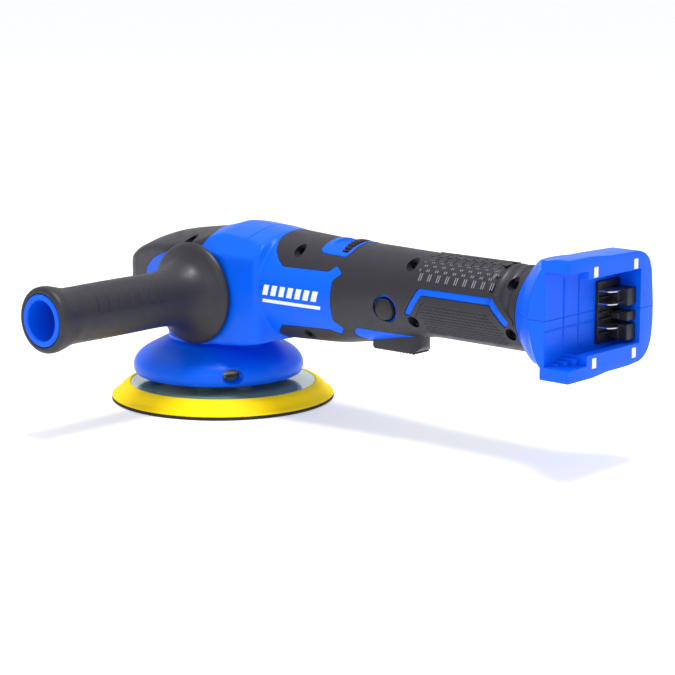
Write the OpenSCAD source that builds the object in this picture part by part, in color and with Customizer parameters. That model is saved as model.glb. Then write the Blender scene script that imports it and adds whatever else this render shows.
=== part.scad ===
// Battery-powered dual action polisher. The origin is on the spindle axis at the pad's face.
// +X runs to the battery end, -Y is the side with the side handle, +Z is up.

/* [Pad] */
// Radius of the round backing pad
pad_r = 75; // [72:1:78]
// Distance from the spindle axis to the pad's own axis
throw = 4; // [3.5:0.1:4]

/* [Body] */
// Height of the motor axis over the pad's face
motor_z = 85; // [84.5:0.1:85.5]
// Radius of the rear grip, over its soft cover
grip_r = 25.8; // [25.4:0.1:26.5]
// Length of the side handle
handle_len = 130; // [115:1:140]

/* [Walls] */
// Thickness of the soft cover
cover_t = 2; // [1.6:0.1:2.2]
// Thickness of the hard shell under the soft cover
shell_t = 3; // [2.6:0.1:3.2]
// Radial clearance of every shaft that turns
run_gap = 0.05; // [0.02:0.01:0.09]

/* [Hidden] */
$fn = 72;
eps = 0.01;
big = 200;

// The turned part of the body: [x, height of the axis, radius]
SECTIONS = [[30, motor_z, 36.6], [75, motor_z, 35.2], [114, motor_z, 33.2], [131, motor_z + 1, 31.9],
    [146, motor_z + 2.4, 30.3], [161, motor_z + 3.8, 28.8], [176, motor_z + 5.2, 27.3],
    [191, motor_z + 6.3, grip_r], [268, motor_z + 6.3, grip_r]];
grip_z = motor_z + 6.3;
grip_end = 268;
wall_t = cover_t + shell_t;
cover_x = 73.5;

// The gear head
head_w = 36.5;
neck_r = 33.6;
shroud_screw_at = 29.6;
neck_z = 44.2;
handle_x = 15;
handle_z = 76.7;
boss_r = 8;
stud_r = 4;
hole_depth = 13;

// The bevel gears
gear_teeth = 33;
pinion_teeth = 11;
gear_ratio = gear_teeth / pinion_teeth;
gear_pitch_r = 21.4;
tooth_in = 14.8;
tooth_w = 1.05;
tooth_root = 0.9;
tooth_tip = 0.6;

// Shafts
spindle_r = 8;
journal_r = 8.5;
top_journal_r = 5;
motor_shaft_r = 5;
tail_shaft_r = 4;
arbor_r = 7.5;

// Bearings: [bore radius, outer radius, width]
BEARING_6000 = [5, 13, 8];
BEARING_6002 = [7.5, 16, 9];
BEARING_6003 = [8.5, 17.5, 10];
BEARING_6200 = [5, 15, 9];
BEARING_608 = [4, 11, 7];
lower_bearing_z = 51;
top_bearing_z = 92;
pinion_bearing_x = 40;
rear_bearing_x = 111;

// The pad and its drive
hook_t = 2;
disc_z = 8.5;
disc_t = 2.5;
disc_r = pad_r - 12.5;
foam_top_z = 11.5;
hub_z = 20;
hub_top_z = 44;
bolt_r = 4;
key_hole_r = 3.2;

// The motor
stator_r = 22;
stator_bore_r = 15.2;
rotor_r = 14.5;
stator_x = 70;
stator_len = 32;
lead_z = 76.4;

// The trigger
trigger_x = 145;
trigger_len = 36;
trigger_w = 19.4;
pin_x = 152;
pin_z = 65;
pin_r = 1.5;
post_x = 174;

// The lock button
button_x = 169;
button_z = 83.5;
button_r = 7;

// The speed dial
dial_r = 22;
dial_x = 124;
dial_w = 6;
dial_z = 97.3;
dial_teeth = 44;

// The battery receptacle
rec_x = 268;
rec_floor_x = 301.5;
rec_rear_x = 318;
rec_back_x = 298.3;
rec_split_z = 94.5;
rec_side_y = 42.8;
tail_r = 20.6;
LEAD_Y = [8.6, 12.2];

// The side handle
handle_y = -38.2;
sleeve_r = 16.4;
sleeve_bore_r = 12.5;
guard_len = 29;

// Screws that close the housing: [x, z, distance of the recess floor from the seam]
SCREWS = [[95, 111, 16], [101.7, 58, 14], [183, 111, 11], [189, 77.2, 16], [261.6, 108, 13],
    [263, 79, 16], [5, 109, 22], [-42, 72, 22]];
screw_r = 1.75;
screw_head_r = 3.4;
recess_r = 3.7;
screw_boss_r = 4.2;

// ---------- helpers ----------

// Turns a shape drawn along +Z so that it runs along +X
module along_x(x, z) { translate([x, 0, z]) rotate([0, 90, 0]) children(); }

// Turns a shape drawn along +Z so that it runs along +Y
module along_y(x, y, z) { translate([x, y, z]) rotate([-90, 0, 0]) children(); }

// Extrudes a side outline, drawn as [x, z], across the whole width w
module side_extrude(w) { rotate([90, 0, 0]) linear_extrude(w, center = true) children(); }

// Extrudes an end outline, drawn as [y, z], from x0 to x1
module end_extrude(x0, x1) { translate([x0, 0, 0]) rotate([90, 0, 90]) linear_extrude(x1 - x0) children(); }

// Keeps the left half (side -1) or the right half (side 1)
module half(side) {
    intersection() {
        children();
        translate([-big, side < 0 ? -big : 0, -big]) cube([4 * big, big, 3 * big]);
    }
}

// A ring along +Z
module ring(r_in, r_out, h) {
    difference() {
        cylinder(h = h, r = r_out);
        translate([0, 0, -eps]) cylinder(h = h + 2 * eps, r = r_in);
    }
}

// A ball bearing along +Z, with a seal groove in each face
module bearing(size) {
    groove = (size[1] - size[0]) / 4;
    difference() {
        ring(size[0] + run_gap, size[1], size[2]);
        for (z = [-eps, size[2] - 0.5])
            translate([0, 0, z]) ring(size[0] + groove, size[1] - groove, 0.5 + eps);
    }
}

// A pan-head screw whose head sits at the origin and whose shank runs along +Z
module screw(head_r, head_h, shank_r, shank_len) {
    translate([0, 0, -head_h]) difference() {
        cylinder(h = head_h, r = head_r);
        translate([0, 0, -eps]) cylinder(h = head_h * 0.6, r = head_r * 0.45, $fn = 6);
    }
    cylinder(h = shank_len, r = shank_r);
}

// A closed tube through a list of rings, which all have as many points
module skin(rings) {
    sides = len(rings[0]);
    spans = len(rings) - 1;
    points = [for (one = rings) for (p = one) p];
    walls = [for (i = [0 : spans - 1]) for (s = [0 : sides - 1])
        [i * sides + s, (i + 1) * sides + s, (i + 1) * sides + (s + 1) % sides, i * sides + (s + 1) % sides]];
    first = [for (s = [0 : sides - 1]) s];
    last = [for (s = [sides - 1 : -1 : 0]) spans * sides + s];
    polyhedron(points = points, faces = concat([first], walls, [last]));
}

// Points of a ring of wire around a helix at the angle a
function wire_ring(r, wire_r, pitch, a, sides) = [for (s = [0 : sides - 1])
    let (w = 360 * s / sides, d = r + wire_r * cos(w))
    [d * cos(a), d * sin(a), pitch * a / 360 + wire_r * sin(w)]];

// A coil spring along +Z
module coil_spring(r, wire_r, len, turns) {
    sides = 6;
    steps = turns * 12;
    pitch = (len - 2 * wire_r) / turns;
    translate([0, 0, wire_r])
        skin([for (i = [0 : steps]) wire_ring(r, wire_r, pitch, 360 * turns * i / steps, sides)]);
}

// Points of a ring of radius r around p, square to the direction d
function lead_ring(p, d, r) = let (across = cross(d, [0, 0, 1]), u = across / norm(across), v = cross(d, u) / norm(d))
    [for (a = [0 : 45 : 315]) p + r * (cos(a) * u + sin(a) * v)];

// A round lead through a list of points
module lead(points, r) {
    end = len(points) - 1;
    skin([for (i = [0 : end]) lead_ring(points[i], points[min(i + 1, end)] - points[max(i - 1, 0)], r)]);
}

// ---------- outer form of the body ----------

// The turned barrel and grip, with its surface moved in by inset
module barrel_form(inset) {
    for (i = [0 : len(SECTIONS) - 2]) {
        a = SECTIONS[i];
        b = SECTIONS[i + 1];
        along_x(a[0], (a[1] + b[1]) / 2) cylinder(h = b[0] - a[0], r1 = a[2] - inset, r2 = b[2] - inset);
    }
}

// Side outline of the gear head and the nose
module head_side() {
    offset(r = 6) offset(delta = -6)
        polygon([[-66, 87], [-61, 94.5], [-50.5, 102.4], [-40, 107], [-28.9, 110.6], [-18, 112.8], [10, 117],
            [32, 122.2], [54, 121], [73, 118.5], [73, 50], [58, 46.5], [36, neck_z], [-8, neck_z],
            [-24, 57], [-58, 61], [-66, 66]]);
}

// Outline of the gear head and the nose from above
module head_plan() {
    hull() {
        for (s = [-1, 1]) {
            translate([-46, 6 * s]) circle(20);
            translate([-8, (head_w - 14) * s]) circle(14);
            translate([63, (head_w - 9) * s]) circle(9);
        }
    }
}

// Outline of the gear head from the end: crowned, with chamfered shoulders
module head_end() {
    polygon([[0, 122.5], [14, 120.9], [27, 116.5], [head_w, 103], [head_w, 40], [-head_w, 40],
        [-head_w, 103], [-27, 116.5], [-14, 120.9]]);
}

module head_form(inset) {
    intersection() {
        side_extrude(big) offset(delta = -inset) head_side();
        linear_extrude(big) offset(delta = -inset) head_plan();
        end_extrude(-big / 2, big / 2) offset(delta = -inset) head_end();
    }
}

module body_form(inset) {
    head_form(inset);
    barrel_form(inset);
}

// Where the soft cover of the nose lies, seen from the side
module palm_outline() {
    polygon([[10, 130], [12.5, 109], [-9, 105.5], [-28, 98.5], [-39, 89], [-39, 50], [-80, 50], [-80, 130]]);
}

// Where the hard shell shows at the surface, seen from the side
module panel_outline() {
    polygon([[-90, 30], [-90, 140], [73, 140], [73, 116], [77, 110], [83, 104.7], [88, 101.3],
        [125, 101.7], [129.6, 105.6], [135.2, 101.5], [129.7, 96.7], [129, 71.5], [134.5, 66.5],
        [130, 62], [123, 64.6], [84, 63], [76, 57], [71, 52], [71, 30]]);
}

// The raised stripe of hard shell on the side of the grip
module stripe_outline() {
    polygon([[184.2, 82.2], [194.8, 99], [250.2, 99.3], [263.2, 86], [260, 83], [248.4, 95.1],
        [197.2, 94.9], [187.8, 81.2]]);
}

// Where the hard shell shows around the trigger, seen from the side
module accent_outline() {
    polygon([[141, 61.5], [142, 65.5], [146, 68], [165, 66.6], [181, 65.2], [183, 62], [183, 40], [141, 40]]);
}

module dial_outline() { translate([110, -20]) square([27, 40]); }

// ---------- openings in the body ----------

module screw_recesses(r, side) {
    for (s = SCREWS)
        along_y(s[0], side < 0 ? -big : s[2], s[1]) cylinder(h = big - (side < 0 ? s[2] : 0), r = r, $fn = 32);
}

module trigger_slot() { translate([trigger_x - 1.2, -trigger_w / 2 - 0.5, 40]) cube([38.6, trigger_w + 1, 33.4]); }

module button_hole(r) { along_y(button_x, -40, button_z) cylinder(h = 25, r = r); }

module handle_bosses(r) { along_y(handle_x, -big / 2, handle_z) cylinder(h = big, r = r); }

module common_openings(side) {
    screw_recesses(recess_r, side);
    trigger_slot();
    handle_bosses(boss_r);
    if (side < 0) button_hole(button_r + 0.4);
}

// ---------- housing ----------

// Ribs that hold the stator, and lugs that hold the trigger pin
module housing_ribs() {
    for (x = [stator_x + 3, stator_x + stator_len - 6])
        along_x(x, motor_z) ring(stator_r, stator_r + 8.5, 3);
    for (s = [-1, 1])
        along_y(pin_x, s * 12.2 - 1.5, pin_z) cylinder(h = 3, r = 3.2);
}

// The end wall of the grip, and the tube that carries the battery receptacle
module tail_tube() {
    along_x(grip_end - 4, grip_z) {
        ring(tail_r - 3, grip_r - cover_t, 4);
        ring(tail_r - 3, tail_r, 14);
    }
}

module screw_bosses(side) {
    intersection() {
        for (s = SCREWS) along_y(s[0], side < 0 ? -s[2] - 2 : 0, s[1]) cylinder(h = s[2] + 2, r = screw_boss_r);
        body_form(cover_t);
    }
}

module housing(side) {
    color("#0064f0") half(side) difference() {
        union() {
            difference() {
                union() {
                    body_form(cover_t);
                    intersection() {
                        body_form(0);
                        side_extrude(big) difference() {
                            union() {
                                panel_outline();
                                stripe_outline();
                                accent_outline();
                            }
                            palm_outline();
                        }
                    }
                    translate([0, 0, neck_z]) cylinder(h = 20, r = neck_r);
                }
                body_form(wall_t);
                translate([0, 0, neck_z - 1]) cylinder(h = 7, r = 32.4);
                translate([0, 0, neck_z]) cylinder(h = 20, r = 30.2);
            }
            tail_tube();
            intersection() {
                housing_ribs();
                body_form(cover_t);
            }
            screw_bosses(side);
        }
        common_openings(side);
        along_x(dial_x - 1, dial_z) cylinder(h = dial_w + 2, r = dial_r + 0.8);
        intersection() {
            linear_extrude(big) dial_outline();
            translate([0, -big, 100]) cube([big, 2 * big, big]);
            difference() {
                barrel_form(-1);
                barrel_form(wall_t - 1);
            }
        }
        for (s = SCREWS) along_y(s[0], -s[2] - 3, s[1]) cylinder(h = 2 * s[2] + 3, r = screw_r);
        along_y(pin_x, -15, pin_z) cylinder(h = 30, r = pin_r);
    }
}

module housing_left() { housing(-1); }

module housing_right() { housing(1); }

module overmould(side) {
    color("#3c3a44") half(side) difference() {
        intersection() {
            difference() {
                barrel_form(0);
                barrel_form(cover_t);
            }
            side_extrude(big) difference() {
                translate([cover_x, 40]) square([grip_end - cover_x, 90]);
                panel_outline();
                stripe_outline();
                accent_outline();
            }
        }
        common_openings(side);
        linear_extrude(big) dial_outline();
        for (i = [0 : 2]) along_x(250 + 5 * i, grip_z) ring(grip_r - 1, grip_r + 5, 1.6);
    }
}

module overmould_left() { overmould(-1); }

module overmould_right() { overmould(1); }

module palm_grip() {
    color("#3c3a44") difference() {
        intersection() {
            head_form(0);
            side_extrude(big) palm_outline();
        }
        head_form(cover_t);
        screw_recesses(recess_r, -1);
        screw_recesses(recess_r, 1);
    }
}

module housing_screws() {
    color("silver") for (s = SCREWS)
        along_y(s[0], -s[2], s[1]) screw(screw_head_r, 2.2, screw_r, 2 * s[2] - 6);
}

// ---------- gear case ----------

module gear_case() {
    case_r = 30;
    color("#b9bcc0") difference() {
        union() {
            translate([0, 0, 49]) cylinder(h = 54.5, r = case_r);
            translate([0, 0, neck_z + 0.1]) cylinder(h = 5.5, r = 32.2);
            along_x(10, motor_z) cylinder(h = 42, r = 18);
            along_y(handle_x, -head_w, handle_z) cylinder(h = 2 * head_w, r = boss_r);
        }
        translate([0, 0, 62]) cylinder(h = 28, r = case_r - 4);
        translate([0, 0, 40]) cylinder(h = lower_bearing_z - 40 + BEARING_6003[2], r = BEARING_6003[1]);
        translate([0, 0, 55]) cylinder(h = 20, r = 14);
        translate([0, 0, 85]) cylinder(h = top_bearing_z - 85 + BEARING_6200[2], r = BEARING_6200[1]);
        translate([0, 0, 40]) cylinder(h = 9.5, r = 26);
        along_x(10, motor_z) cylinder(h = 50, r = 9.5);
        along_x(pinion_bearing_x, motor_z) cylinder(h = 20, r = BEARING_6000[1]);
        for (s = [-1, 1])
            along_y(handle_x, s * (head_w - hole_depth / 2) - hole_depth / 2, handle_z)
                cylinder(h = hole_depth, r = stud_r);
        for (a = [45 : 90 : 315])
            rotate(a) translate([shroud_screw_at, 0, 40]) cylinder(h = 14, r = screw_r);
    }
}

module shroud() {
    // Outer wall from the collar down to the rim, then the inner wall back up
    outer = [[27.5, 44], [33.3, 44], [33.3, 41.3], [40.5, 37.9], [46.9, 34.6], [52.6, 31], [55.6, 28],
        [57.1, 24.8], [57.4, 21.8], [56.9, 19.2], [55.6, 17.2]];
    inner = [[53.4, 17.2], [54.4, 19], [54.8, 21.4], [54.5, 24], [53.3, 26.6], [51, 29], [45, 32.6],
        [34, 38], [27.5, 38]];
    color("#0064f0") difference() {
        union() {
            rotate_extrude() polygon(concat(outer, inner));
            rotate(-38) translate([46, 0, 24]) rotate([0, 90, 0]) cylinder(h = 9.5, r = 6);
        }
        rotate(-38) translate([40, 0, 24]) rotate([0, 90, 0]) cylinder(h = 30, r = 4.6);
        for (a = [45 : 90 : 315])
            rotate(a) translate([shroud_screw_at, 0, 30]) cylinder(h = 20, r = screw_r);
    }
}

module shroud_screws() {
    color("silver") for (a = [45 : 90 : 315])
        rotate(a) translate([shroud_screw_at, 0, 38]) screw(3, 2, screw_r, 12);
}

// ---------- bearings ----------

module spindle_top_bearing() { color("silver") translate([0, 0, top_bearing_z]) bearing(BEARING_6200); }

module spindle_lower_bearing() { color("silver") translate([0, 0, lower_bearing_z]) bearing(BEARING_6003); }

module pinion_bearing() { color("silver") along_x(pinion_bearing_x, motor_z) bearing(BEARING_6000); }

module motor_rear_bearing() { color("silver") along_x(rear_bearing_x, motor_z) bearing(BEARING_608); }

// ---------- motor ----------

module motor_end_plate() {
    color("#3a3a3c") along_x(rear_bearing_x - 4, motor_z) difference() {
        union() {
            cylinder(h = 2.5, r = 25.5);
            cylinder(h = 10.5, r = 13.5);
        }
        translate([0, 0, 4]) cylinder(h = 10, r = BEARING_608[1]);
        translate([0, 0, -1]) cylinder(h = 10, r = 7);
        for (a = [0 : 60 : 300])
            rotate(a) translate([17.2, 0, -1]) cylinder(h = 5, r = 3.5, $fn = 24);
    }
}

module stator_core() {
    tooth_count = 6;
    color("#8d9096") along_x(stator_x, motor_z) difference() {
        cylinder(h = stator_len, r = stator_r);
        translate([0, 0, -1]) cylinder(h = stator_len + 2, r = stator_bore_r);
        for (i = [0 : tooth_count - 1])
            rotate(360 * i / tooth_count) translate([stator_bore_r - 1, -5, -1]) cube([5, 10, stator_len + 2]);
    }
}

module stator_windings() {
    color("#b87333") for (i = [0 : 5])
        along_x(stator_x - 3, motor_z) rotate(60 * i)
            translate([stator_bore_r + 0.4, -4.6, 0]) cube([3.1, 9.2, stator_len + 6]);
}

module rotor_shaft() {
    color("silver") {
        along_x(24, motor_z) cylinder(h = 12, r = 4.5);
        along_x(36, motor_z) cylinder(h = 70, r = motor_shaft_r);
        along_x(106, motor_z) cylinder(h = 12, r = tail_shaft_r);
    }
}

module rotor_core() { color("#5d6066") along_x(stator_x - 1, motor_z) ring(motor_shaft_r, rotor_r, stator_len + 2); }

module cooling_fan() {
    fan_r = 26;
    color("#26262a") along_x(53, motor_z) {
        ring(motor_shaft_r, 9, 11);
        ring(9, fan_r, 2);
        for (i = [0 : 8]) rotate(40 * i) translate([8.5, -0.8, 1]) cube([fan_r - 9, 1.6, 9]);
    }
}

module bevel_pinion() {
    tip_x = gear_pitch_r + 0.4;
    near_x = tooth_in + 0.5;
    far_x = tip_x - 0.5;
    color("#77797e") {
        along_x(0, motor_z) difference() {
            rotate_extrude() polygon([[0, tooth_in], [tooth_in / gear_ratio - tooth_root, tooth_in],
                [tip_x / gear_ratio - tooth_root, tip_x], [7.4, tip_x + 0.8], [7.4, 36], [0, 36]]);
            translate([0, 0, 24]) cylinder(h = 20, r = 4.5);
        }
        for (i = [0 : pinion_teeth - 1]) translate([0, 0, motor_z]) rotate([360 * i / pinion_teeth, 0, 0])
            side_extrude(tooth_w) polygon([[near_x, 3], [far_x, 3], [far_x, far_x / gear_ratio + tooth_tip],
                [near_x, near_x / gear_ratio + tooth_tip * 0.6]]);
    }
}

// ---------- spindle ----------

module bevel_gear() {
    outer_r = gear_pitch_r + 0.9;
    face = [for (r = [outer_r, tooth_in - 0.6]) motor_z - r / gear_ratio];
    color("#77797e") {
        difference() {
            rotate_extrude() polygon([[spindle_r, 68], [outer_r, 70], [outer_r, face[0] - tooth_root],
                [tooth_in - 0.6, face[1] - tooth_root], [12.5, 79], [spindle_r, 79]]);
        }
        for (i = [0 : gear_teeth - 1]) rotate(360 * i / gear_teeth)
            side_extrude(tooth_w) polygon([[outer_r - 0.3, face[0] - tooth_root - 0.3],
                [outer_r - 0.3, face[0] + tooth_tip], [tooth_in, motor_z - tooth_in / gear_ratio + tooth_tip * 0.6],
                [tooth_in, motor_z - tooth_in / gear_ratio - tooth_root - 0.3]]);
    }
}

module spindle() {
    color("silver") {
        translate([0, 0, hub_top_z]) cylinder(h = 6.5, r = 7);
        translate([0, 0, 50]) cylinder(h = 12.5, r = journal_r);
        translate([0, 0, 62]) cylinder(h = 4, r = 10.5);
        translate([0, 0, 65]) cylinder(h = 15, r = spindle_r);
        translate([0, 0, 79]) cylinder(h = 13, r = 6);
        translate([0, 0, 91]) cylinder(h = 10, r = top_journal_r);
    }
}

module eccentric_hub() {
    color("#9a9da2") difference() {
        union() {
            translate([throw, 0, hub_z]) cylinder(h = hub_top_z - hub_z, r = 20);
            translate([0, 0, hub_top_z - 1]) cylinder(h = 6.5, r = 12);
        }
        translate([throw, 0, hub_z - 1]) cylinder(h = 22, r = BEARING_6002[1]);
        translate([0, 0, hub_top_z]) cylinder(h = 10, r = 7);
        for (a = [-22, 22])
            rotate(180 + a) translate([10, 0, 30]) rotate([0, 90, 0]) cylinder(h = 20, r = 2);
    }
}

// A half-round weight opposite to the pad's offset
module counterweight() {
    color("#6d7076") difference() {
        intersection() {
            translate([0, 0, 21]) cylinder(h = 14, r = 43);
            translate([-60, -40, 20]) cube([54, 80, 20]);
        }
        translate([throw, 0, 15]) cylinder(h = 30, r = 20);
        translate([0, 0, 33]) rotate_extrude() polygon([[34, 5], [50, -8], [50, 5]]);
        for (a = [-22, 22])
            rotate(180 + a) translate([10, 0, 30]) rotate([0, 90, 0]) cylinder(h = 40, r = 2);
        for (a = [-22, 22])
            rotate(180 + a) translate([33, 0, 30]) rotate([0, 90, 0]) cylinder(h = 40, r = 3.6);
    }
}

module counterweight_screws() {
    color("silver") for (a = [-22, 22])
        rotate(180 + a) translate([33, 0, 30]) rotate([0, -90, 0]) screw(3.5, 3, 2, 19);
}

module pad_bearings() {
    color("silver") for (z = [22, 31.5]) translate([throw, 0, z]) bearing(BEARING_6002);
}

// ---------- pad ----------

module pad_arbor() {
    color("silver") translate([throw, 0, 0]) difference() {
        union() {
            translate([0, 0, 16]) cylinder(h = 5, r = 11);
            translate([0, 0, 20]) cylinder(h = 20.5, r = arbor_r);
        }
        translate([0, 0, 15]) cylinder(h = 15, r = bolt_r);
    }
}

module backing_disc() {
    color("#64796f") translate([throw, 0, 0]) difference() {
        union() {
            translate([0, 0, disc_z]) cylinder(h = disc_t, r = disc_r);
            translate([0, 0, 5]) cylinder(h = 11, r = 18);
        }
        translate([0, 0, 4]) cylinder(h = 20, r = bolt_r);
    }
}

module foam_ring() {
    color("#ffe400") translate([throw, 0, 0]) rotate_extrude() polygon([[18.3, hook_t], [pad_r, hook_t],
        [pad_r - 11.5, foam_top_z], [disc_r, foam_top_z], [disc_r, disc_z], [18.3, disc_z]]);
}

module hook_face() { color("#202022") translate([throw, 0, 0]) ring(key_hole_r, pad_r, hook_t); }

module pad_bolt() {
    color("silver") translate([throw, 0, 5]) difference() {
        union() {
            translate([0, 0, -1.8]) cylinder(h = 1.8, r = 7.5);
            cylinder(h = 24, r = bolt_r);
        }
        translate([0, 0, -2]) cylinder(h = 6, r = 2.9, $fn = 6);
    }
}

// ---------- trigger, lock button and dial ----------

module trigger() {
    color("#2c2b32") difference() {
        union() {
            intersection() {
                side_extrude(trigger_w) offset(r = 2) offset(delta = -2)
                    polygon([[trigger_x, 68], [trigger_x, 53], [trigger_x + trigger_len - 4, 53.4],
                        [trigger_x + trigger_len, 57.5], [trigger_x + trigger_len, 68]]);
                union() {
                    translate([trigger_x, -trigger_w / 2 - 1, 40]) cube([trigger_len - 9, trigger_w + 2, 40]);
                    translate([trigger_x + trigger_len - 11, 0, 40]) cylinder(h = 40, r = 11);
                }
            }
            translate([post_x, 0, 67]) cylinder(h = 6.5, r = 1.2);
        }
        along_y(pin_x, -20, pin_z) cylinder(h = 40, r = pin_r + run_gap);
        for (i = [0 : 4]) translate([trigger_x + 8 + 6 * i, 0, 52.7]) rotate([90, 0, 0])
            cylinder(h = 30, r = 0.8, center = true, $fn = 24);
    }
}

module trigger_pin() { color("silver") along_y(pin_x, -13, pin_z) cylinder(h = 26, r = pin_r); }

module trigger_spring() { color("silver") translate([post_x, 0, 68.1]) coil_spring(3, 0.4, 5.8, 3); }

module trigger_switch() {
    color("#26262a") difference() {
        translate([156, -9, 74]) cube([26, 18, 15]);
        translate([post_x, 0, 70]) cylinder(h = 11, r = 3.9);
    }
    color("#26262a") translate([post_x, 0, 73.9]) ring(2.6, 4.5, 0.4);
}

module lock_button() {
    color("#2c2b32") {
        along_y(button_x, -28.6, button_z) cylinder(h = 11.7, r = button_r);
        along_y(button_x, -17, button_z) cylinder(h = 1.4, r = button_r + 1);
        along_y(button_x, -15.7, button_z) cylinder(h = 3.7, r = 2.5);
    }
}

module lock_spring() { color("silver") along_y(button_x, -15.5, button_z) coil_spring(4, 0.4, 6.4, 3); }

module dial_bezel() {
    color("#0064f0") difference() {
        intersection() {
            linear_extrude(big) dial_outline();
            difference() {
                barrel_form(0);
                barrel_form(wall_t - 1);
            }
        }
        along_x(dial_x - 1, dial_z) cylinder(h = dial_w + 2, r = dial_r + 0.6);
        intersection() {
            translate([113, -17, 90]) cube([21, 34, 40]);
            difference() {
                barrel_form(-3);
                barrel_form(2);
            }
        }
        translate([0, -big, -big]) cube([big, 2 * big, big + 100]);
    }
}

module speed_dial() {
    color("#26262a") along_x(dial_x, dial_z) difference() {
        cylinder(h = dial_w, r = dial_r);
        translate([0, 0, -1]) cylinder(h = dial_w + 2, r = 3);
        for (i = [0 : dial_teeth - 1]) rotate(360 * i / dial_teeth)
            translate([dial_r, 0, -1]) cylinder(h = dial_w + 2, r = 0.9, $fn = 16);
    }
}

module dial_shaft() { color("silver") along_x(dial_x - 2, dial_z) cylinder(h = 16, r = 3); }

module dial_potentiometer() {
    color("#3f6f4c") along_x(dial_x + dial_w + 2, dial_z) difference() {
        cylinder(h = 9, r = 8);
        translate([0, 0, -1]) cylinder(h = 8, r = 3 + run_gap);
    }
}

// ---------- electronics ----------

module controller_board() {
    color("#2f5d46") translate([200, -15, 80]) cube([44, 30, 2]);
    color("#26262a") translate([202, -13, 82]) cube([40, 26, 12]);
    color("#b9bcc0") translate([202, -13, 94]) cube([40, 26, 3]);
}

module battery_leads() {
    color("#a02020") for (y = LEAD_Y)
        lead([[rec_floor_x, y, 91], [286, y, 91], [262, y, 91], [247, y, 88], [242, y, 88]], 1.6);
}

module motor_leads() {
    color("#202020") for (y = [[-14.9, -11, -7.5], [13.3, 11, 5.5], [16.5, 14.2, 9.5]])
        lead([[105, y[0], lead_z], [131, y[0], lead_z], [148, y[0], 97], [188, y[1], 97], [198, y[2], 90],
            [202, y[2], 90]], 1.3);
}

// ---------- battery receptacle ----------

// Outline of the receptacle from the rear: square at the open side, round at the closed side
module rec_outline(inset) {
    offset(delta = -inset) offset(r = 14) offset(delta = -14)
        polygon([[-rec_side_y - 30, 131], [-21, 131], [-1, 128.8], [rec_side_y, 128.8],
            [rec_side_y, 61.6], [-3, 61.6], [-18, 60.2], [-rec_side_y - 30, 60.2]]);
}

module rec_body() {
    difference() {
        union() {
            intersection() {
                end_extrude(rec_x, rec_back_x) intersection() {
                    rec_outline(0);
                    translate([-big / 2, 64.5]) square([big, 59.1]);
                }
                along_x(rec_x, grip_z + 2) rotate_extrude() polygon([[0, 0], [grip_r, 0], [27.6, 1.8], [31, 5.6],
                    [34.6, 9.3], [38.8, 15], [42.8, 22], [48, 26.8], [51.1, 30.4], [0, 30.4]]);
            }
            end_extrude(rec_back_x, rec_rear_x) rec_outline(0);
        }
        // Space for the battery pack, with a groove under each rail
        translate([rec_floor_x, -big, 74]) cube([big, big + 29, 44]);
        translate([rec_floor_x, -big, 69.5]) cube([9.5, big + 29, 53]);
        translate([rec_floor_x, -big, 68]) cube([big, big - 24, 54.8]);
        translate([rec_x - 1, -big, 0]) cube([big, big - rec_side_y, big]);
        along_x(rec_x - 1, grip_z) cylinder(h = 17, r = tail_r);
        for (y = LEAD_Y) along_x(rec_x, 91) translate([0, y, 0]) cylinder(h = 40, r = 1.7, $fn = 24);
        for (y = [-18.8, 21.5]) for (z = [65.5, 118.2])
            translate([rec_rear_x - 0.6, y, z]) cube([2, 4.5, 6.4]);
    }
}

module receptacle_upper() {
    color("#0064f0") intersection() {
        rec_body();
        translate([rec_x - 5, -big, rec_split_z]) cube([big, 2 * big, big]);
    }
}

module receptacle_lower() {
    color("#0064f0") intersection() {
        rec_body();
        translate([rec_x - 5, -big, rec_split_z - big]) cube([big, 2 * big, big]);
    }
}

module terminal_block() {
    color("#1c1b20") {
        translate([rec_floor_x, 7, 74.2]) cube([2, 22, 37]);
        for (s = [[76, 9.5], [87.7, 5.3], [96.8, 10]])
            translate([rec_floor_x + 1, 20, s[0]]) cube([12.7, 9, s[1]]);
    }
}

module contact_blades() {
    color("silver") for (z = [84, 98, 105.5])
        translate([rec_floor_x + 2, 7, z]) cube([9.6, 13, 0.8]);
}

module felt_pads() {
    color("white") for (y = [-18.8, 21.5]) for (z = [65.5, 118.2])
        translate([rec_rear_x - 0.6, y, z]) cube([0.6, 4.5, 6.4]);
}

// ---------- side handle ----------

// Places a shape drawn along +Z on the handle's axis, pointing away from the head
module on_handle() { translate([handle_x, handle_y, handle_z]) rotate([90, 0, 0]) children(); }

module handle_guard() {
    color("#3c3a44") on_handle() rotate_extrude() polygon([[8.5, 0], [33.6, 0], [33.6, 2.4], [30, 5],
        [25.5, 9], [21.5, 14.5], [19, 21], [17.8, guard_len], [sleeve_r, guard_len], [sleeve_r, 8], [8.5, 8]]);
}

module handle_grip() {
    end = handle_len;
    color("#3c3a44") on_handle() rotate_extrude() polygon([[sleeve_r, guard_len], [17.8, guard_len],
        [17.6, 45], [17.6, end - 26], [18.1, end - 17], [19.6, end - 11.5], [20.8, end - 7],
        [20.8, end - 3], [19.4, end], [sleeve_r, end]]);
}

module handle_sleeve() {
    color("#0064f0") on_handle() difference() {
        union() {
            cylinder(h = 8, r = 8.5);
            translate([0, 0, 8]) cylinder(h = handle_len - 7.5, r = sleeve_r);
        }
        translate([0, 0, 44]) cylinder(h = handle_len, r = sleeve_bore_r);
        translate([0, 0, -1]) cylinder(h = 31, r = stud_r);
        translate([0, 0, 30 - eps]) cylinder(h = 6, r = 7.5, $fn = 6);
        translate([0, 0, 34]) cylinder(h = 20, r = 5);
    }
}

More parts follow.
